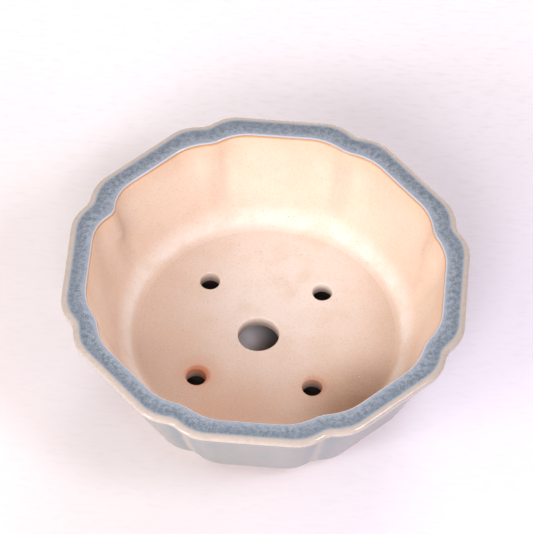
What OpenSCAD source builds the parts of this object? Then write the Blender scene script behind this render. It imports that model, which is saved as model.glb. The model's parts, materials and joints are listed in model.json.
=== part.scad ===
// Shallow eight-lobed bonsai pot, open at the top, on four wide bracket feet.
// The clay pieces (slab, wall, corner coil, lip and feet) are luted together before firing.
// Glaze coats cover the lip, the outside of the wall and the outside of the feet.
// Origin: centre of the footprint, on the surface that the pot stands on. +Z is up.
// The middles of the lobes face +X, +Y and every 45 degrees between.

/* [Pot] */
// Width over two opposite lobes, measured over the glazed lip
pot_w = 200; // [190:1:230]
// Height from the table to the top of the lip
pot_h = 65; // [60:1:80]
// Depth of the notch between two lobes at the lip
notch = 7.7; // [3:0.1:9]

/* [Wall] */
// Width of the flat lip that stands around the mouth
lip_w = 11.8; // [10:0.1:14]
// Thickness of the lip, top to underside
lip_t = 6.4; // [6.2:0.1:8]
// Thickness of the wall just under the lip
neck_t = 6; // [5:0.1:8]
// How far the wall leans in from the lip to the foot line
wall_lean = 17; // [10:0.5:22]
// Outward bow of the wall's outside
outer_bow = 0.15; // [0:0.05:0.5]
// Outward bow of the wall's inside
inner_bow = 0.5; // [0.2:0.05:0.7]

/* [Floor] */
// Thickness of the floor slab
slab_t = 7; // [5:0.5:10]
// How far the foot of the wall stands out past the slab
wall_foot_t = 7.5; // [6.5:0.5:10]
// How far the corner coil reaches in over the floor
coil_reach = 3.5; // [3:0.5:10]
// Height of the corner coil above the floor
coil_h = 10; // [8:0.5:16]

/* [Holes] */
// Diameter of the drain hole
drain_d = 20.5; // [14:0.5:26]
// Where the drain hole was cut, off the pot's axis
drain_at = [-3.7, -0.3];
// Diameter of the four wiring holes
wire_d = 10; // [5:0.5:13]
// Where the wiring holes were cut, from the front left one round to the right
wire_at = [[-32.5, -29.2], [25.8, -30.5], [26.2, 28.8], [-30.9, 30.7]];

/* [Feet] */
// Height of a foot
foot_h = 9; // [6:0.5:12]
// Depth of a foot, inwards from its outer face
foot_t = 9.5; // [7:0.5:14]
// Angle that each foot spans
foot_span = 58; // [50:1:66]
// How far the feet stand in from the foot of the wall
foot_inset = 7; // [6:0.5:10]
// Radius of the scoop at each end of a foot
scoop_r = 6; // [3:0.5:6]

/* [Glaze] */
// Thickness of the glaze coat
coat_t = 0.5; // [0.4:0.1:1]

/* [Hidden] */

lobes = 8;
lobe_span = 360 / lobes;
lobe_half = lobe_span / 2;
// Rounds the bottom of the notch
notch_soft = 0.8;
// Where the outline is sampled across one lobe, closer together towards the notch
lobe_steps = [-22.5, -20.5, -18.5, -16, -13, -9, -4.5, 0, 4.5, 9, 13, 16, 18.5, 20.5];
steps = [for (lobe = [0 : lobes - 1], a = lobe_steps) [lobe * lobe_span, a]];
n_steps = len(steps);

// Levels
slab_z = foot_h;
floor_z = slab_z + slab_t;
coil_z = floor_z + coil_h;
neck_z = pot_h - lip_t;
base_round = 1.5;
// The glaze ends just above the foot line
glaze_z = slab_z + 0.5;

// Radii at the middle of a lobe, in clay unless the name says glaze
lip_r = pot_w / 2 - coat_t;
mouth_r = pot_w / 2 - lip_w;
neck_flare = 1.2;
neck_out_r = mouth_r - neck_flare + neck_t;
base_r = neck_out_r - wall_lean;
slab_r = base_r - wall_foot_t;
foot_r = base_r - foot_inset;
toe_r = slab_r - coil_reach;

// An outline: [1 for full lobes or 0 for a circle, depth of the notch, and the angle each side of
// a lobe's middle for which the lobe runs straight before it curls in to the notch].
// The notch is a little shallower at the mouth and at the foot of the wall.
lip_line = [1, notch, 12];
mouth_line = [1, 0.95 * notch, 9];
base_line = [1, 0.8 * notch, 11];
round_line = [0, 0, 9];
// The inside is round at the floor and fully lobed from this share of its height
full_lobes_at = 0.67;

drain_r = drain_d / 2;
wire_r = wire_d / 2;
cut = 1;
foot_angles = [225, 315, 45, 135];
bore_fn = 96;
scoop_fn = 48;
foot_steps = 20;

function mix(a, b, t) = a + (b - a) * t;

// A bowed line from a to b
function bowed(a, b, t, bow) = mix(a, b, t + bow * t * (1 - t));

// How far the outline has curled in towards the notch, from 0 to 1
function curl(a, straight) =
    let (
        to_notch = sqrt(pow(lobe_half - abs(a), 2) + pow(notch_soft, 2)),
        far = lobe_half - straight
    )
    pow(max(0, far - to_notch) / (far - notch_soft), 2);

// Radius of an outline at angle a from a lobe's middle
function lobe_r(mid_r, line, a) =
    mix(mid_r, mid_r / cos(a) - line[1] * curl(a, line[2]), line[0]);

// One level of a shape: [radius at a lobe's middle, height, outline]
function level_points(level) = [
    for (s = steps)
        let (r = lobe_r(level[0], level[2], s[1]))
        [r * cos(s[0] + s[1]), r * sin(s[0] + s[1]), level[1]]
];

// A closed ring: levels go round its section, clockwise when the outside is to the right
module ring(levels) {
    m = len(levels);
    points = [for (level = levels) each level_points(level)];
    faces = [
        for (i = [0 : m - 1], j = [0 : n_steps - 1])
            let (
                i2 = (i + 1) % m,
                j2 = (j + 1) % n_steps,
                a = i * n_steps + j,
                b = i * n_steps + j2,
                c = i2 * n_steps + j2,
                d = i2 * n_steps + j
            )
            each [[a, b, c], [a, c, d]]
    ];
    polyhedron(points = points, faces = faces, convexity = 6);
}

// The outside of the wall, from the foot line up to the lip
function outer_level(z, coat = 0) =
    let (t = (z - slab_z) / (neck_z - slab_z))
    [bowed(base_r, neck_out_r, t, outer_bow) + coat, z, mix(base_line, lip_line, t)];

// The inside of the wall, from the round floor up to the lobed mouth
function inner_level(z) =
    let (t = (z - floor_z) / (pot_h - floor_z))
    [bowed(slab_r, mouth_r, t, inner_bow), z, mix(round_line, mouth_line, min(1, t / full_lobes_at))];

outer_heights = [for (i = [0 : 5]) mix(slab_z + base_round, neck_z, i / 5)];
inner_heights = [for (i = [1 : 5]) mix(coil_z, neck_z, i / 5)];
coil_heights = [for (i = [0 : 3]) mix(floor_z, coil_z, i / 3)];

// Rounded bottom edge of the wall, in clay
base_edge = [
    [base_r - 2.2, slab_z, base_line],
    [base_r - 0.6, glaze_z, base_line]
];

// The top of the lip, in clay, from the mouth out to the underside
lip_edge = [
    [mouth_r - 0.1, pot_h - 1.1, mouth_line],
    [mouth_r + 0.8, pot_h - 0.45, mouth_line],
    [lip_r - 2.4, pot_h - coat_t, lip_line],
    [lip_r - 0.8, pot_h - 1.1, lip_line],
    [lip_r, pot_h - 2.2, lip_line],
    [lip_r - 0.5, pot_h - 3.9, lip_line],
    [lip_r - 1.5, pot_h - 5.3, lip_line]
];

// The same in glaze: it starts as a feather edge at the mouth
lip_coat = [
    [mouth_r + 0.1, pot_h - 0.6, mouth_line],
    [mouth_r + 1.2, pot_h, mouth_line],
    [lip_r - 2.2, pot_h, lip_line],
    [lip_r - 0.4, pot_h - 0.6, lip_line],
    [lip_r + coat_t, pot_h - 2, lip_line],
    [lip_r + coat_t - 0.5, pot_h - 4, lip_line],
    [lip_r + coat_t - 1.7, pot_h - 5.9, lip_line]
];

function reversed(list) = [for (i = [len(list) - 1 : -1 : 0]) list[i]];

module floor_slab() {
    color("#e8cbb4")
    difference() {
        translate([0, 0, slab_z])
            linear_extrude(slab_t)
                polygon([for (s = steps) slab_r * [cos(s[0] + s[1]), sin(s[0] + s[1])]]);
        translate([drain_at[0], drain_at[1], slab_z - cut])
            cylinder(r = drain_r, h = slab_t + 2 * cut, $fn = bore_fn);
        for (at = wire_at)
            translate([at[0], at[1], slab_z - cut])
                cylinder(r = wire_r, h = slab_t + 2 * cut, $fn = bore_fn);
    }
}

module wall() {
    color("#f0d9c0")
    ring([
        [slab_r, slab_z, round_line],
        each base_edge,
        for (z = outer_heights) outer_level(z),
        for (z = reversed(inner_heights)) inner_level(z),
        for (z = reversed(coil_heights)) inner_level(z)
    ]);
}

// A fillet of clay pressed into the corner between the floor and the wall
module corner_coil() {
    top = inner_level(coil_z);
    // The face is a curve that leaves the floor nearly flat and meets the wall near its slope
    bend = [slab_r, floor_z + 0.8];
    color("#efd6be")
    ring([
        for (z = coil_heights) inner_level(z),
        for (t = [0.8, 0.6, 0.4, 0.2])
            let (
                r = mix(mix(toe_r, bend[0], t), mix(bend[0], top[0], t), t),
                z = mix(mix(floor_z, bend[1], t), mix(bend[1], coil_z, t), t)
            )
            [r, z, mix(round_line, top[2], t * t)],
        [toe_r, floor_z, round_line]
    ]);
}

module rim_lip() {
    color("#f3dfc9")
    ring([
        outer_level(neck_z),
        each reversed(lip_edge),
        inner_level(neck_z)
    ]);
}

// Plan of a band along the foot line, between two radii, across one foot
function foot_band(r_in, r_out) = [
    for (i = [0 : foot_steps]) base_at(r_out, mix(-foot_span / 2, foot_span / 2, i / foot_steps)),
    for (i = [foot_steps : -1 : 0]) base_at(r_in, mix(-foot_span / 2, foot_span / 2, i / foot_steps))
];

// A point on the foot line at angle a from the middle of any lobe
function base_at(mid_r, a) =
    let (in_lobe = a - lobe_span * round(a / lobe_span))
    lobe_r(mid_r, base_line, in_lobe) * [cos(a), sin(a)];

// The two scoops that give a foot its bracket shape
module scoops() {
    for (side = [-1, 1])
        rotate(side * foot_span / 2)
            translate([foot_r, 0, 0])
                rotate([0, 90, 0])
                    cylinder(r = scoop_r, h = 4 * foot_t, center = true, $fn = scoop_fn);
}

module foot(i) {
    color("#e3c6b0")
    rotate(foot_angles[i])
        difference() {
            linear_extrude(foot_h)
                polygon(foot_band(foot_r - foot_t, foot_r));
            scoops();
        }
}

module wall_glaze() {
    color("#b9b8bd")
    ring([
        for (z = reversed(outer_heights)) outer_level(z),
        base_edge[1],
        for (z = outer_heights) outer_level(z, coat_t)
    ]);
}

module rim_glaze() {
    color("#8e98a6")
    ring([
        outer_level(neck_z),
        outer_level(neck_z, coat_t),
        each reversed(lip_coat),
        each lip_edge
    ]);
}

module foot_glaze() {
    bare_h = 1.5;
    color("#b9b8bd")
    for (angle = foot_angles)
        rotate(angle)
            difference() {
                translate([0, 0, bare_h])
                    linear_extrude(foot_h - bare_h)
                        polygon(foot_band(foot_r, foot_r + coat_t));
                scoops();
            }
}

floor_slab();
wall();
corner_coil();
rim_lip();
foot(0);  // foot_front_left
foot(1);  // foot_front_right
foot(2);  // foot_back_right
foot(3);  // foot_back_left
wall_glaze();
rim_glaze();
foot_glaze();
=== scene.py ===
"""Eight-lobed bonsai pot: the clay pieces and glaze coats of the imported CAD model, with their looks.

Everything is in metres, in the pot's own frame: the origin is on the table under the pot's middle,
+Z is up, and the middles of the lobes face +X, +Y and every 45 degrees between.
"""

import json
import math

import bmesh
import bpy
import numpy as np
from mathutils import Matrix, Vector, noise


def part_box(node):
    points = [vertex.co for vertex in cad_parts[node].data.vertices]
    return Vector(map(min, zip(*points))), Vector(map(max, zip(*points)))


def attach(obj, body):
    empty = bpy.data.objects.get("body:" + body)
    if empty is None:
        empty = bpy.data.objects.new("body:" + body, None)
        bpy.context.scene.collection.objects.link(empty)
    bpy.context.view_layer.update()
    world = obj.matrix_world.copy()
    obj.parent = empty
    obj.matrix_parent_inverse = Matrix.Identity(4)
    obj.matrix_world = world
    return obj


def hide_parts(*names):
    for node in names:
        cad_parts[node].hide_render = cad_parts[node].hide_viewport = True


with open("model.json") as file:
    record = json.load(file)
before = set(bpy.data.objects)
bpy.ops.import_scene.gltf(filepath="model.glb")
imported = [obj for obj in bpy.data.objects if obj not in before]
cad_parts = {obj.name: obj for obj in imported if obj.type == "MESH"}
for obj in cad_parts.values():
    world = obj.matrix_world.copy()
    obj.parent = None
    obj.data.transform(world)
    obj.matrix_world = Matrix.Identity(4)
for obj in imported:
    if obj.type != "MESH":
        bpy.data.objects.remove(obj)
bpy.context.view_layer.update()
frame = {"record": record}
RECORD = frame["record"]
MM = 0.001

# ---------------------------------------------------------------- sizes, from the frame


def half_width(node):
    low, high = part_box(node)
    return (high.x - low.x) / 2


def mount(name):
    return next(m for m in RECORD["mounts"] if m["name"] == name)


TOP_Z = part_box("rim_glaze")[1].z
NECK_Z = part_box("wall")[1].z
SLAB_Z, FLOOR_Z = (corner.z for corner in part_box("floor_slab"))
COIL_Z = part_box("corner_coil")[1].z
RIM_R = half_width("rim_glaze")
SLAB_R = half_width("floor_slab")
NECK_R = half_width("wall")
COAT = half_width("wall_glaze") - NECK_R
# The width of the lip, the lean of the wall and the reach of the coil over the floor
MOUTH_R = RIM_R - 11.8 * MM
BASE_R = NECK_R - 17 * MM
TOE_R = SLAB_R - 3.5 * MM
# The feet: outer radius, depth, span in degrees, where each stands, and the scoop at their ends
FOOT_R = BASE_R - 7 * MM
FOOT_T = 9.5 * MM
FOOT_SPAN = 58
FOOT_ANGLES = {"front_left": 225, "front_right": 315, "back_right": 45, "back_left": 135}
SCOOP_R = 6 * MM
# Where the foot glaze stops, above the table
FOOT_BARE = 1.5 * MM
# Where the wall's glaze ends, on the soft bottom edge of the clay: height, and distance in from BASE_R
EDGE_Z = SLAB_Z + 0.5 * MM
EDGE_IN = 0.6 * MM
# The bowed outside of the wall starts here, just above that edge
WALL_START_Z = SLAB_Z + 1.5 * MM
# Below this height the clay of the lip's inner edge is bare
LIP_BARE_Z = TOP_Z - 1.1 * MM

# Lobes, half of one in degrees, how softly a notch turns in degrees, and how deep it is
LOBES = 8
LOBE_HALF = 180 / LOBES
NOTCH_SOFT = 0.8
NOTCH = 7.7 * MM
# One fold, at the back left, was pinched deeper by hand on the inside
PINCHED_AT = 157.5
PINCH_SPREAD = 9
# An outline: 1 for full lobes or 0 for a circle, depth of the notch, the angle each side of a
# lobe's middle for which it runs straight, and how much deeper the pinched notch is
LIP_LINE = np.array([1, NOTCH, 12, 0])
MOUTH_LINE = np.array([1, 0.95 * NOTCH, 9, 0.28])
BASE_LINE = np.array([1, 0.8 * NOTCH, 11, 0])
ROUND_LINE = np.array([0, 0, 9, 0])
# How far the outside and the inside of the wall bulge past a straight line
OUTER_BOW = 0.15
INNER_BOW = 0.5
# The inside is round at the floor and fully lobed from this share of its height
FULL_LOBES_AT = 0.67

# The most that a point is moved in by hand-made unevenness
WANDER = 0.45 * MM
# Points round every ring, and the angle of each in degrees
AROUND = LOBES * 60
TURN = np.arange(AROUND) * 360 / AROUND

# ---------------------------------------------------------------- shape of the pot


def mix(a, b, t):
    return a + (b - a) * t


def bowed(a, b, t, bow):
    return mix(a, b, t + bow * t * (1 - t))


def lobe_r(mid_r, line, degrees):
    """Radius of an outline at each of the angles."""
    lobed, depth, straight, pinch = line
    off = np.abs((degrees + LOBE_HALF) % (2 * LOBE_HALF) - LOBE_HALF)
    to_notch = np.hypot(LOBE_HALF - off, NOTCH_SOFT)
    far = LOBE_HALF - straight
    curl = (np.maximum(0, far - to_notch) / (far - NOTCH_SOFT)) ** 2
    from_pinch = (degrees - PINCHED_AT + 180) % 360 - 180
    depth = depth * (1 + pinch * np.exp(-(from_pinch / PINCH_SPREAD) ** 2))
    return mix(mid_r, mid_r / np.cos(np.radians(off)) - depth * curl, lobed)


def level(mid_r, z, line):
    """One level of a section: radius at a lobe's middle, height and outline, as one row."""
    return (mid_r, z, *line)


def outer_level(z, coat=0.0):
    t = (z - SLAB_Z) / (NECK_Z - SLAB_Z)
    return level(bowed(BASE_R, NECK_R, t, OUTER_BOW) + coat, z, mix(BASE_LINE, LIP_LINE, t))


def inner_level(z):
    t = (z - FLOOR_Z) / (TOP_Z - FLOOR_Z)
    line = mix(ROUND_LINE, MOUTH_LINE, min(1, t / FULL_LOBES_AT))
    return level(bowed(SLAB_R, MOUTH_R, t, INNER_BOW), z, line)


def spread(low, high, count):
    return [mix(low, high, i / (count - 1)) for i in range(count)]


def curve_through(points, steps=4):
    """Catmull-Rom curve through the points, each a tuple of numbers."""
    rows = np.array(points, float)
    rows = np.vstack([2 * rows[0] - rows[1], rows, 2 * rows[-1] - rows[-2]])
    found = []
    for a, b, c, d in zip(rows, rows[1:], rows[2:], rows[3:]):
        for i in range(steps):
            t = i / steps
            found.append(
                0.5 * (2 * b + (c - a) * t + (2 * a - 5 * b + 4 * c - d) * t**2
                       + (3 * b - 3 * c + d - a) * t**3)
            )
    found.append(rows[-2])
    return [tuple(row) for row in found]


def hand_made(places):
    """Pulls points in, by an amount that swells with direction and height and fades at the axis."""
    # The larger the number, the shorter the swells
    swells_round, swells_up = 1.6, 9
    reach = np.hypot(places[:, 0], places[:, 1])
    outwards = np.clip(reach / RIM_R, 0, 1) ** 2
    amount = np.array([
        noise.noise(Vector((x / r * swells_round, y / r * swells_round, z * swells_up))) if r > 1e-6 else 0
        for (x, y, z), r in zip(places, reach)
    ])
    pull = WANDER * outwards * (0.5 + 0.5 * np.clip(amount * 1.6, -1, 1))
    scale = 1 - pull / np.maximum(reach, 1e-6)
    return np.column_stack([places[:, 0] * scale, places[:, 1] * scale, places[:, 2]])


def turn_outward(mesh):
    """Flips a closed mesh that is inside out."""
    shape = bmesh.new()
    shape.from_mesh(mesh)
    inside_out = shape.calc_volume(signed=True) < 0
    shape.free()
    if inside_out:
        mesh.flip_normals()


def finish_mesh(name, mesh, material, node, sharp=35):
    mesh.validate()
    turn_outward(mesh)
    mesh.polygons.foreach_set("use_smooth", [True] * len(mesh.polygons))
    mesh.set_sharp_from_angle(angle=math.radians(sharp))
    piece = bpy.data.objects.new(name, mesh)
    bpy.context.scene.collection.objects.link(piece)
    mesh.materials.append(material)
    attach(piece, "root")
    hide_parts(node)
    return piece


def ring(name, section, material, node):
    """A closed ring round the pot, from the levels that go round its section."""
    radians = np.radians(TURN)
    rows = []
    for mid_r, z, *line in section:
        r = lobe_r(mid_r, line, TURN)
        rows.append(np.column_stack([r * np.cos(radians), r * np.sin(radians), np.full(AROUND, z)]))
    places = hand_made(np.vstack(rows))
    levels = len(section)
    faces = []
    for i in range(levels):
        upper = (i + 1) % levels * AROUND
        for j in range(AROUND):
            k = (j + 1) % AROUND
            faces.append((i * AROUND + j, i * AROUND + k, upper + k, upper + j))
    mesh = bpy.data.meshes.new(name)
    mesh.from_pydata(places.tolist(), [], faces)
    # Distance along the section from its first level, in millimetres
    steps = [math.dist(a[:2], b[:2]) for a, b in zip(section, section[1:])]
    across = np.repeat(np.concatenate([[0], np.cumsum(steps)]) / MM, AROUND)
    mesh.attributes.new("across", "FLOAT", "POINT").data.foreach_set("value", across)
    # Degrees from the nearest notch
    from_notch = np.tile(np.abs(TURN % (2 * LOBE_HALF) - LOBE_HALF), levels)
    mesh.attributes.new("from_notch", "FLOAT", "POINT").data.foreach_set("value", from_notch)
    finish_mesh(name, mesh, material, node)


# ---------------------------------------------------------------- materials


def linear(hex_colour):
    """An sRGB colour such as d8b49a, as linear RGBA."""
    values = [int(hex_colour[i:i + 2], 16) / 255 for i in (0, 2, 4)]
    return [v / 12.92 if v <= 0.04045 else ((v + 0.055) / 1.055) ** 2.4 for v in values] + [1]


class Look:
    """A node material under construction. Lengths given to it are in metres."""

    def __init__(self, name):
        self.material = bpy.data.materials.new(name)
        self.material.use_nodes = True
        self.tree = self.material.node_tree
        self.shader = self.tree.nodes["Principled BSDF"]
        self.place = self.add("TexCoord").outputs["Object"]
        self.normal = None

    def add(self, kind, **settings):
        node = self.tree.nodes.new("ShaderNode" + kind)
        for key, value in settings.items():
            setattr(node, key, value)
        return node

    def feed(self, socket, value):
        if isinstance(value, bpy.types.NodeSocket):
            self.tree.links.new(value, socket)
        elif isinstance(value, str):
            socket.default_value = linear(value)
        else:
            socket.default_value = value

    def set(self, **values):
        for key, value in values.items():
            self.feed(self.shader.inputs[key.replace("_", " ")], value)

    def math(self, operation, a, b=0.0):
        node = self.add("Math", operation=operation)
        self.feed(node.inputs[0], a)
        self.feed(node.inputs[1], b)
        return node.outputs[0]

    def noise(self, size, detail=2.0, rough=0.5, stretch=(1, 1, 1), shift=(0, 0, 0)):
        """Noise around 0.5 whose blotches are about size across."""
        mapping = self.add("Mapping")
        self.feed(mapping.inputs["Vector"], self.place)
        mapping.inputs["Scale"].default_value = stretch
        mapping.inputs["Location"].default_value = shift
        node = self.add("TexNoise")
        self.feed(node.inputs["Vector"], mapping.outputs[0])
        node.inputs["Scale"].default_value = 1 / size
        node.inputs["Detail"].default_value = detail
        node.inputs["Roughness"].default_value = rough
        return node.outputs["Fac"]

    def dots(self, spacing, radius, chance=1.0):
        """Round spots: 1 in a spot, 0 outside. Only the given share of the cells has one."""
        node = self.add("TexVoronoi")
        self.feed(node.inputs["Vector"], self.place)
        node.inputs["Scale"].default_value = 1 / spacing
        spot = self.step(node.outputs["Distance"], radius / spacing, 0.5 * radius / spacing)
        split = self.add("SeparateColor")
        self.feed(split.inputs[0], node.outputs["Color"])
        chosen = self.math("LESS_THAN", split.outputs[0], chance)
        return self.math("MULTIPLY", spot, chosen)

    def step(self, value, start, end):
        """0 up to start and 1 from end, smooth between; start may be the larger."""
        node = self.add("MapRange", interpolation_type="SMOOTHSTEP")
        self.feed(node.inputs["Value"], value)
        low, high = min(start, end), max(start, end)
        node.inputs["From Min"].default_value = low
        node.inputs["From Max"].default_value = high
        node.inputs["To Min"].default_value = 0 if start < end else 1
        node.inputs["To Max"].default_value = 1 if start < end else 0
        return node.outputs["Result"]

    def blend(self, factor, a, b):
        node = self.add("Mix", data_type="RGBA")
        self.feed(node.inputs[0], factor)
        self.feed(node.inputs[6], a)
        self.feed(node.inputs[7], b)
        return node.outputs[2]

    def share(self, value, amount):
        return self.math("MULTIPLY", value, amount)

    def axis(self, name):
        node = self.add("SeparateXYZ")
        self.feed(node.inputs[0], self.place)
        return node.outputs[name]

    def attribute(self, name):
        return self.add("Attribute", attribute_name=name).outputs["Fac"]

    def near(self, centre, start, end):
        """1 within start of a point, 0 beyond end."""
        node = self.add("VectorMath", operation="DISTANCE")
        self.feed(node.inputs[0], self.place)
        node.inputs[1].default_value = centre
        return self.step(node.outputs["Value"], end, start)

    def bump(self, height, distance, strength=1.0):
        node = self.add("Bump")
        node.inputs["Strength"].default_value = strength
        node.inputs["Distance"].default_value = distance
        self.feed(node.inputs["Height"], height)
        if self.normal is not None:
            self.feed(node.inputs["Normal"], self.normal)
        self.normal = node.outputs[0]
        self.feed(self.shader.inputs["Normal"], self.normal)


def slab_tone(look, cloud):
    """The floor: paler in the middle as painted light, darker at the front right as a painted shadow, and
    flushed at the front.
    """
    tone = look.blend(look.step(cloud, 0.35, 0.68), "dec5b4", "e4cdbd")
    # Painted light: a paler pool in the middle of the floor
    middle = look.near((5 * MM, 26 * MM, FLOOR_Z), 14 * MM, 68 * MM)
    tone = look.blend(look.share(middle, 0.9), tone, "f3e7de")
    # Painted shadow: the front right wall's shade, darker at the front right of the floor
    corner = look.near((53 * MM, -42 * MM, FLOOR_Z), 5 * MM, 40 * MM)
    tone = look.blend(look.share(corner, 0.75), tone, "ae8c72")
    flush = look.near((-16 * MM, -62 * MM, FLOOR_Z), 12 * MM, 44 * MM)
    return look.blend(look.share(flush, 0.35), tone, "dfb092")


def fold_shade_and_smudges(look, colour, z, cloud):
    """Greyer along the folds of the wall, partly painted shade in the creases and partly grey staining,
    and one more smudge by the pinched fold.
    """
    # Painted shade in the creases of the folds, with some grey staining
    by_fold = look.step(look.attribute("from_notch"), 6, 1.5)
    fold = look.math("MULTIPLY", by_fold, look.step(cloud, 0.36, 0.56))
    fold = look.math("MULTIPLY", fold, look.step(z, FLOOR_Z + 8 * MM, FLOOR_Z + 18 * MM))
    colour = look.blend(look.share(fold, 0.3), colour, "bba395")
    smudge = look.near((-66 * MM, 34 * MM, FLOOR_Z + 33 * MM), 3 * MM, 17 * MM)
    return look.blend(look.share(smudge, 0.3), colour, "b39a89")


def iron_flash(look, colour, z, drift):
    """A fine line of iron where the glaze ends, and a wide warm blush below it."""
    ragged = look.math("ADD", z, look.share(look.math("SUBTRACT", drift, 0.5), 1.4 * MM))
    flash = look.step(ragged, TOP_Z - 2.0 * MM, TOP_Z - 1.3 * MM)
    colour = look.blend(look.share(flash, 0.85), colour, "cb8f55")
    blush = look.step(ragged, TOP_Z - 15 * MM, TOP_Z - 2 * MM)
    return look.blend(look.share(blush, 0.2), colour, "e2b48a")


def rusty_halo(look, colour, z, hole, amount):
    """Rust round a wiring hole, wide and faint, then close and strong; it fades down the bore."""
    at = Vector(mount(hole)["pos_m"])
    upper = look.step(z, FLOOR_Z - 5 * MM, FLOOR_Z - 2 * MM)
    wide = look.near((at.x + 1.5 * MM, at.y + 2 * MM, FLOOR_Z), 5 * MM, 16 * MM)
    wide = look.math("MULTIPLY", wide, upper)
    colour = look.blend(look.share(wide, 0.34 * amount), colour, "d3946a")
    close = look.near((at.x + 0.8 * MM, at.y + 0.9 * MM, FLOOR_Z), 5 * MM, 7.4 * MM)
    close = look.math("MULTIPLY", close, upper)
    return look.blend(look.share(close, 0.8 * amount), colour, "c56d3c")


def clay_look():
    """Unglazed fired clay: pale peach, sandy, with warmer flushes, specks and an orange flash."""
    look = Look("bare_clay")
    cloud = look.noise(45 * MM, 3, 0.55)
    drift = look.noise(17 * MM, 3, 0.6, shift=(0.3, 0.1, 0.7))
    grain = look.noise(0.9 * MM, 4, 0.7)
    z = look.axis("Z")
    wall_tone = look.blend(look.step(cloud, 0.35, 0.68), "e5cbb9", "e9d3c2")
    fillet = look.step(z, FLOOR_Z + 13 * MM, FLOOR_Z + 3 * MM)
    wall_tone = look.blend(look.share(fillet, 0.8), wall_tone, "f5ede6")
    on_wall = look.step(z, FLOOR_Z + 0.2 * MM, FLOOR_Z + 3.2 * MM)
    colour = look.blend(on_wall, slab_tone(look, cloud), wall_tone)
    colour = fold_shade_and_smudges(look, colour, z, cloud)
    colour = look.blend(look.share(look.step(drift, 0.42, 0.7), 0.4), colour, "dfc5ad")
    # Painted shade: darker at the bottom of the holes and underneath
    under = look.step(z, FLOOR_Z - 1 * MM, FLOOR_Z - 5.5 * MM)
    colour = look.blend(look.share(under, 0.7), colour, "7c6656")
    # Sandy grain, dark and light
    colour = look.blend(look.share(look.step(grain, 0.5, 0.82), 0.5), colour, "b99c85")
    colour = look.blend(look.share(look.step(grain, 0.5, 0.2), 0.35), colour, "f6ebe2")
    colour = iron_flash(look, colour, z, drift)
    colour = rusty_halo(look, colour, z, "wire_hole_front_left", 0.85)
    colour = rusty_halo(look, colour, z, "wire_hole_front_right", 0.4)
    # Specks
    colour = look.blend(look.share(look.dots(2.6 * MM, 0.27 * MM, 0.4), 0.6), colour, "76503a")
    colour = look.blend(look.share(look.dots(6.1 * MM, 0.33 * MM, 0.12), 0.8), colour, "fff4ea")
    look.set(Base_Color=colour)
    look.set(Roughness=look.math("ADD", look.share(grain, 0.16), 0.74))
    look.set(Specular_IOR_Level=0.3)
    look.bump(look.noise(9 * MM, 2), 0.25 * MM, 0.5)
    look.bump(grain, 0.06 * MM, 0.6)
    return look.material


def rim_glaze_look():
    """Slate blue glaze, mottled where it pools, white at the mouth and cream on the outer edge."""
    look = Look("rim_glaze")
    across = look.attribute("across")
    mottle = look.noise(2.4 * MM, 5, 0.7)
    speck = look.noise(0.8 * MM, 3, 0.7)
    drift = look.noise(14 * MM, 2, 0.5)
    ragged = look.math("ADD", across, look.share(look.math("SUBTRACT", mottle, 0.5), 1.2))
    spots = look.math("ADD", mottle, look.share(look.math("SUBTRACT", speck, 0.5), 0.7))
    blue = look.blend(look.step(spots, 0.36, 0.66), "98a3af", "667280")
    blue = look.blend(look.share(look.step(drift, 0.4, 0.7), 0.3), blue, "838e9b")
    band = look.math("MULTIPLY", look.step(across, 4.5, 7), look.step(across, 9, 8.2))
    blue = look.blend(look.share(band, 0.35), blue, "667280")
    blue = look.blend(look.share(look.dots(11 * MM, 0.45 * MM, 0.4), 0.7), blue, "414c57")
    blue = look.blend(look.share(look.step(ragged, 4.6, 1.8), 0.6), blue, "a6afbc")
    blue = look.blend(look.share(look.step(ragged, 8.4, 9.4), 0.7), blue, "9aa5b0")
    # At the mouth the glaze feathers out: a rusty line, then a white one
    mouth = look.blend(look.step(across, 0.25, 0.6), "cd9a68", "c6c8d4")
    colour = look.blend(look.step(across, 0.9, 1.7), mouth, blue)
    cream = look.blend(look.step(mottle, 0.35, 0.7), "c4b7ad", "baada5")
    colour = look.blend(look.step(ragged, 9.1, 10.1), colour, cream)
    # Below the cream edge the glaze turns grey, painted darker than the body glaze as shade under the lip
    colour = look.blend(look.step(across, 13.6, 14.4), colour, "81868c")
    look.set(Base_Color=colour)
    look.set(Roughness=look.math("ADD", look.share(look.step(across, 8.5, 11), -0.16), 0.36))
    look.set(Coat_Weight=0.55, Coat_Roughness=0.08)
    look.bump(mottle, 0.12 * MM, 0.35)
    look.bump(speck, 0.03 * MM, 0.4)
    return look.material


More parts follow.
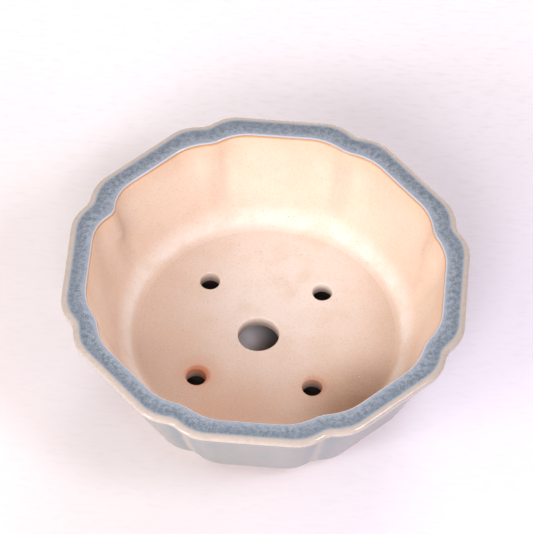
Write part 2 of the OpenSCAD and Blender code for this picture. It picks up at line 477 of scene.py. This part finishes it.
def body_glaze_look():
    """Pale grey glaze: cream on the ridge of each notch, bluer where it pools beside it."""
    look = Look("body_glaze")
    mottle = look.noise(5 * MM, 4, 0.6, stretch=(1, 1, 0.3))
    speck = look.noise(1.1 * MM, 3, 0.65)
    cloud = look.noise(40 * MM, 2, 0.5)
    colour = look.blend(look.step(cloud, 0.35, 0.65), "8e9391", "969494")
    colour = look.blend(look.share(look.step(mottle, 0.4, 0.7), 0.3), colour, "83898d")
    colour = look.blend(look.share(look.step(speck, 0.52, 0.8), 0.2), colour, "7f8791")
    from_notch = look.attribute("from_notch")
    ragged = look.math("ADD", from_notch, look.share(look.math("SUBTRACT", mottle, 0.5), 2.5))
    pool = look.math("MULTIPLY", look.step(ragged, 1.2, 2.6), look.step(ragged, 6.5, 3.2))
    colour = look.blend(look.share(pool, 0.45), colour, "788492")
    colour = look.blend(look.share(look.step(ragged, 1.8, 0.5), 0.55), colour, "b5ada5")
    # Thin and creamy along the foot line and along the bottom of the feet
    z = look.math("ADD", look.axis("Z"), look.share(look.math("SUBTRACT", mottle, 0.5), 1.2 * MM))
    below = look.step(z, SLAB_Z + 3 * MM, SLAB_Z + 1.7 * MM)
    line = look.math("MULTIPLY", below, look.step(z, SLAB_Z - 1 * MM, SLAB_Z))
    thin = look.math("ADD", line, look.step(z, 3.2 * MM, 2.2 * MM))
    colour = look.blend(look.share(thin, 0.75), colour, "cdbfb3")
    look.set(Base_Color=colour)
    look.set(Roughness=look.math("ADD", look.share(speck, 0.1), 0.25))
    look.set(Coat_Weight=0.3, Coat_Roughness=0.1)
    look.bump(mottle, 0.1 * MM, 0.25)
    return look.material


CLAY = clay_look()
RIM_GLAZE = rim_glaze_look()
BODY_GLAZE = body_glaze_look()

# ---------------------------------------------------------------- clay pieces


def wall():
    base = [
        level(SLAB_R, SLAB_Z, ROUND_LINE),
        level(BASE_R - 2.2 * MM, SLAB_Z, BASE_LINE),
        level(BASE_R - EDGE_IN, EDGE_Z, BASE_LINE),
    ]
    outside = [outer_level(z) for z in spread(WALL_START_Z, NECK_Z, 12)]
    inside = [inner_level(z) for z in spread(NECK_Z, FLOOR_Z, 44)]
    ring("wall_clay", base + outside + inside, CLAY, "wall")


def coil():
    """The fillet in the corner, its face nearly tangent to the floor and to the wall."""
    top = inner_level(COIL_Z)
    bend_r, bend_z = SLAB_R, FLOOR_Z + 0.8 * MM
    back = [inner_level(z) for z in spread(FLOOR_Z, COIL_Z, 12)]
    face = []
    for t in spread(1, 0, 25)[1:]:
        r = mix(mix(TOE_R, bend_r, t), mix(bend_r, top[0], t), t)
        z = mix(mix(FLOOR_Z, bend_z, t), mix(bend_z, COIL_Z, t), t)
        face.append(level(r, z, mix(ROUND_LINE, np.array(top[2:]), t * t)))
    ring("coil_clay", back + face, CLAY, "corner_coil")


def lip_face(mouth_r):
    """The lip's clay under its glaze: levels from the mouth, over the top and down to the neck."""
    return [
        level(mouth_r, LIP_BARE_Z, MOUTH_LINE),
        level(MOUTH_R + 0.8 * MM, TOP_Z - 0.5 * MM, MOUTH_LINE),
        level(RIM_R - 3.7 * MM, TOP_Z - 0.55 * MM, LIP_LINE),
        level(RIM_R - 1.4 * MM, TOP_Z - 1.15 * MM, LIP_LINE),
        level(RIM_R - 0.6 * MM, TOP_Z - 2.3 * MM, LIP_LINE),
        level(RIM_R - 1.0 * MM, TOP_Z - 3.8 * MM, LIP_LINE),
        level(RIM_R - 2.1 * MM, TOP_Z - 5.3 * MM, LIP_LINE),
        outer_level(NECK_Z),
    ]


def lip():
    inside = [inner_level(z) for z in spread(NECK_Z, LIP_BARE_Z, 8)]
    top = curve_through(lip_face(inside[-1][0]))
    section = (inside + top[1:])[::-1]
    ring("lip_clay", section, CLAY, "rim_lip")


# Points round a hole
HOLE_STEPS = 72
# Radius of a hole's worn edge, and the steps that round it
HOLE_EDGE = 0.7 * MM
HOLE_EDGE_STEPS = 5
# How far from round a hole is, as a share of its radius
HOLE_WOBBLE = 0.012


def loop(mesh, centre, radius, z, count, wobble=0.0, seed=0.0):
    """New vertices on a level circle, made a little uneven by wobble."""
    found = []
    for i in range(count):
        a = 2 * math.pi * i / count
        r = radius * (1 + wobble * (math.sin(2 * a + seed) + 0.6 * math.sin(3 * a + 2 * seed)))
        found.append(mesh.verts.new((centre[0] + r * math.cos(a), centre[1] + r * math.sin(a), z)))
    return found


def bridge(mesh, a, b):
    """Faces between two loops of the same length."""
    for i in range(len(a)):
        k = (i + 1) % len(a)
        mesh.faces.new((a[i], a[k], b[k], b[i]))


def hole_rows(mesh, hole, z, sign, seed):
    """Loops from a flat face into a hole, round its worn edge; sign is 1 at the top and -1 below."""
    radius = hole["dims"]["r_mm"] * MM
    centre = hole["pos_m"]
    collar = radius + 1.6 * HOLE_EDGE
    rows = [loop(mesh, centre, collar, z, HOLE_STEPS, HOLE_WOBBLE, seed)]
    for step in range(HOLE_EDGE_STEPS + 1):
        a = math.pi / 2 * step / HOLE_EDGE_STEPS
        r = radius + HOLE_EDGE * (1 - math.sin(a))
        drop = HOLE_EDGE * (1 - math.cos(a))
        rows.append(loop(mesh, centre, r, z - sign * drop, HOLE_STEPS, HOLE_WOBBLE, seed))
    return rows


def fill_between(mesh, outlines, normal_z):
    """The flat face between the slab's rim and the collars of its holes."""
    edges = []
    for outline in outlines:
        for i, v in enumerate(outline):
            edges.append(mesh.edges.get((v, outline[(i + 1) % len(outline)])))
    bmesh.ops.triangle_fill(mesh, edges=edges, use_beauty=True, normal=(0, 0, normal_z))


def slab():
    """The floor slab, with softly worn edges round its hand-cut holes."""
    holes = [mount("drain_hole")] + [mount("wire_hole_" + n) for n in FOOT_ANGLES]
    mesh = bmesh.new()
    rims = [loop(mesh, (0, 0), SLAB_R, z, AROUND) for z in (FLOOR_Z, SLAB_Z)]
    bridge(mesh, rims[1], rims[0])
    outlines = [[rims[0]], [rims[1]]]
    for n, hole in enumerate(holes):
        top = hole_rows(mesh, hole, FLOOR_Z, 1, n + 1)
        bottom = hole_rows(mesh, hole, SLAB_Z, -1, n + 1)
        outlines[0].append(top[0])
        outlines[1].append(bottom[0])
        chain = top + bottom[::-1]
        for a, b in zip(chain, chain[1:]):
            bridge(mesh, a, b)
    fill_between(mesh, outlines[0], 1)
    fill_between(mesh, outlines[1], -1)
    bmesh.ops.recalc_face_normals(mesh, faces=mesh.faces)
    data = bpy.data.meshes.new("slab_clay")
    mesh.to_mesh(data)
    mesh.free()
    places = np.array([v.co for v in data.vertices])
    data.vertices.foreach_set("co", hand_made(places).ravel())
    piece = finish_mesh("slab_clay", data, CLAY, "floor_slab", sharp=60)
    weighted = piece.modifiers.new("flat faces", "WEIGHTED_NORMAL")
    weighted.keep_sharp = True
    weighted.weight = 100


# ---------------------------------------------------------------- feet

# Steps along a foot
FOOT_STEPS = 48
# Radius of a foot's lower edges, and the steps that round them
FOOT_EDGE = 0.9 * MM
FOOT_EDGE_STEPS = 5


def foot_section(r_in, r_out, bottom):
    """Radius and height of the points round a foot's section, its lower edges rounded."""
    soft = min(FOOT_EDGE, 0.3 * (r_out - r_in))
    turns = [math.pi / 2 * i / FOOT_EDGE_STEPS for i in range(1, FOOT_EDGE_STEPS)]
    corners = [(r_in, SLAB_Z), (r_in, bottom + soft)]
    for turn in turns:
        corners.append((r_in + soft * (1 - math.cos(turn)), bottom + soft * (1 - math.sin(turn))))
    corners.append((r_in + soft, bottom))
    corners.append((r_out - soft, bottom))
    for turn in turns:
        corners.append((r_out - soft * (1 - math.sin(turn)), bottom + soft * (1 - math.cos(turn))))
    return corners + [(r_out, bottom + soft), (r_out, SLAB_Z)]


def foot_band(name, angle, r_in, r_out, low, material, node):
    """A band under one lobe, scooped at both ends, between two radii."""
    rows = []
    for a in spread(-FOOT_SPAN / 2, FOOT_SPAN / 2, FOOT_STEPS + 1):
        from_end = math.radians(FOOT_SPAN / 2 - abs(a)) * (r_in + r_out) / 2
        scoop = math.sqrt(max(0, SCOOP_R**2 - from_end**2))
        section = foot_section(r_in, r_out, max(low, scoop))
        for r, z in section:
            reach = float(lobe_r(r, BASE_LINE, a))
            turn = math.radians(a + angle)
            rows.append((reach * math.cos(turn), reach * math.sin(turn), z))
    around = len(section)
    last = FOOT_STEPS * around
    faces = []
    for start in range(0, last, around):
        for j in range(around):
            k = (j + 1) % around
            faces.append((start + j, start + k, start + around + k, start + around + j))
    faces.append(tuple(range(around))[::-1])
    faces.append(tuple(range(last, last + around)))
    mesh = bpy.data.meshes.new(name)
    mesh.from_pydata(hand_made(np.array(rows)).tolist(), [], faces)
    finish_mesh(name, mesh, material, node)


def feet():
    for name, angle in FOOT_ANGLES.items():
        clay, glaze = "foot_clay_" + name, "foot_glaze_" + name
        foot_band(clay, angle, FOOT_R - FOOT_T, FOOT_R, 0, CLAY, "foot_" + name)
        foot_band(glaze, angle, FOOT_R, FOOT_R + COAT, FOOT_BARE, BODY_GLAZE, "foot_glaze")


# ---------------------------------------------------------------- glaze coats


def lip_coat():
    """The glaze over the lip: a feather edge at the mouth, a shallow pool, a rolled outer edge."""
    edge = inner_level(TOP_Z - 1.0 * MM)
    shape = [
        level(edge[0], edge[1], MOUTH_LINE),
        level(MOUTH_R + 0.15 * MM, TOP_Z - 0.55 * MM, MOUTH_LINE),
        level(MOUTH_R + 0.8 * MM, TOP_Z - 0.1 * MM, MOUTH_LINE),
        level(MOUTH_R + 1.8 * MM, TOP_Z - 0.05 * MM, MOUTH_LINE),
        level(MOUTH_R + 4.5 * MM, TOP_Z - 0.2 * MM, LIP_LINE),
        level(RIM_R - 5.2 * MM, TOP_Z - 0.15 * MM, LIP_LINE),
        level(RIM_R - 2.9 * MM, TOP_Z - 0.02 * MM, LIP_LINE),
        level(RIM_R - 1.5 * MM, TOP_Z - 0.3 * MM, LIP_LINE),
        level(RIM_R - 0.35 * MM, TOP_Z - 1.0 * MM, LIP_LINE),
        level(RIM_R, TOP_Z - 2.0 * MM, LIP_LINE),
        level(RIM_R - 0.4 * MM, TOP_Z - 3.6 * MM, LIP_LINE),
        level(RIM_R - 1.5 * MM, TOP_Z - 5.1 * MM, LIP_LINE),
        level(RIM_R - 3.2 * MM, TOP_Z - 6.05 * MM, LIP_LINE),
        level(NECK_R + 1.2 * MM, NECK_Z + 0.05 * MM, LIP_LINE),
        outer_level(NECK_Z, COAT),
    ]
    outside = curve_through(shape, 5)
    inside = curve_through(lip_face(edge[0])[::-1], 3)
    ring("lip_glaze", outside + inside, RIM_GLAZE, "rim_glaze")


def wall_coat():
    """The glaze down the outside of the wall, ending in a rolled edge above the foot line."""
    outside = [outer_level(z, COAT) for z in spread(NECK_Z, SLAB_Z + 1.6 * MM, 36)]
    roll = [
        level(BASE_R + 0.25 * MM, SLAB_Z + 0.95 * MM, BASE_LINE),
        level(BASE_R - 0.2 * MM, SLAB_Z + 0.55 * MM, BASE_LINE),
        level(BASE_R - EDGE_IN, EDGE_Z, BASE_LINE),
    ]
    inside = [outer_level(z) for z in spread(WALL_START_Z, NECK_Z, 12)]
    ring("wall_coat", outside + roll + inside, BODY_GLAZE, "wall_glaze")


# ---------------------------------------------------------------- stage


def camera():
    """A long lens from the front, high up, turned a few degrees round to the right."""
    target = Vector((-0.34 * MM, 5.49 * MM, TOP_Z))
    distance = 2.5219
    azimuth, elevation, roll = map(math.radians, (4.46, 53.26, 0.52))
    back = Vector((
        math.sin(azimuth) * math.cos(elevation),
        -math.cos(azimuth) * math.cos(elevation),
        math.sin(elevation),
    ))
    data = bpy.data.cameras.new("camera")
    data.lens = 343.4
    data.clip_start, data.clip_end = 0.1, 50
    made = bpy.data.objects.new("camera", data)
    bpy.context.scene.collection.objects.link(made)
    turn = (-back).to_track_quat("-Z", "Y").to_matrix() @ Matrix.Rotation(roll, 3, "Z")
    made.matrix_world = Matrix.Translation(target + back * distance) @ turn.to_4x4()
    bpy.context.scene.camera = made


def paper_look():
    """Pale paper with a faint weave and stains, and painted light: cooler at the right, whiter at the
    back, and a deep shade under the pot.
    """
    look = Look("paper")
    tooth = look.noise(5 * MM, 4, 0.6)
    weave = look.noise(2.2 * MM, 3, 0.6, stretch=(0.25, 1, 1))
    tint = look.noise(120 * MM, 3, 0.55)
    colour = look.blend(look.step(tint, 0.3, 0.7), "eee6e9", "f0e9ea")
    # Painted light: cooler and lighter towards the right, whiter towards the back
    colour = look.blend(look.step(look.axis("X"), -60 * MM, 160 * MM), colour, "f1ebf9")
    colour = look.blend(look.step(look.axis("Y"), 40 * MM, 230 * MM), colour, "fbf8fd")
    colour = look.blend(look.share(look.step(weave, 0.45, 0.75), 0.25), colour, "e2d9dc")
    stain = look.share(look.step(look.noise(60 * MM, 4, 0.6, shift=(0.2, 0.4, 0)), 0.6, 0.75), 0.3)
    colour = look.blend(stain, colour, "e8dfd6")
    # Deep shade under the pot, except by the drain hole
    under = look.near((0, 0, 0), 50 * MM, 64 * MM)
    open_side = look.near((-14 * MM, 9 * MM, 0), 5 * MM, 18 * MM)
    under = look.math("MULTIPLY", under, look.math("SUBTRACT", 1.0, look.share(open_side, 0.8)))
    colour = look.blend(look.share(under, 0.9), colour, "4a3f3c")
    look.set(Base_Color=colour)
    look.set(Roughness=0.85, Specular_IOR_Level=0.2)
    look.bump(tooth, 0.2 * MM, 0.2)
    return look.material


def floor():
    mesh = bpy.data.meshes.new("floor")
    shape = bmesh.new()
    half_side = 4
    bmesh.ops.create_grid(shape, x_segments=8, y_segments=8, size=half_side)
    shape.to_mesh(mesh)
    shape.free()
    made = bpy.data.objects.new("floor", mesh)
    mesh.materials.append(paper_look())
    bpy.context.scene.collection.objects.link(made)


def soft_box(name, azimuth, elevation, size, power, colour, shines=True, distance=1.3):
    """A square soft box that faces the origin. Azimuth runs anticlockwise from +X."""
    a, e = math.radians(azimuth), math.radians(elevation)
    out = Vector((math.cos(a) * math.cos(e), math.sin(a) * math.cos(e), math.sin(e)))
    data = bpy.data.lights.new(name, "AREA")
    data.shape = "SQUARE"
    data.size = size
    data.energy = power
    data.color = linear(colour)[:3]
    made = bpy.data.objects.new(name, data)
    bpy.context.scene.collection.objects.link(made)
    made.location = out * distance
    made.rotation_mode = "QUATERNION"
    made.rotation_quaternion = (-out).to_track_quat("-Z", "Y")
    # A light that doesn't shine leaves no highlight in the glaze
    made.visible_glossy = shines


def lights():
    soft_box("key", 223, 25, 0.35, 6.2, "fffefb")
    soft_box("key bounce", 250, 26, 0.7, 6.2, "fffefb", shines=False)
    soft_box("back", 82, 13, 0.88, 29.5, "fdfdff", shines=False, distance=1.9)
    soft_box("right", 337, 50, 0.35, 4.2, "f6f6ff")
    soft_box("front", 268, 42, 0.35, 5.2, "f8f8ff", shines=False)
    world = bpy.data.worlds.new("studio")
    bpy.context.scene.world = world
    world.use_nodes = True
    background = world.node_tree.nodes["Background"]
    background.inputs["Color"].default_value = (0.44, 0.375, 0.35, 1)


# ---------------------------------------------------------------- build

wall()
coil()
lip()
slab()
feet()
lip_coat()
wall_coat()
floor()
camera()
lights()
bpy.context.scene.view_settings.view_transform = "Standard"
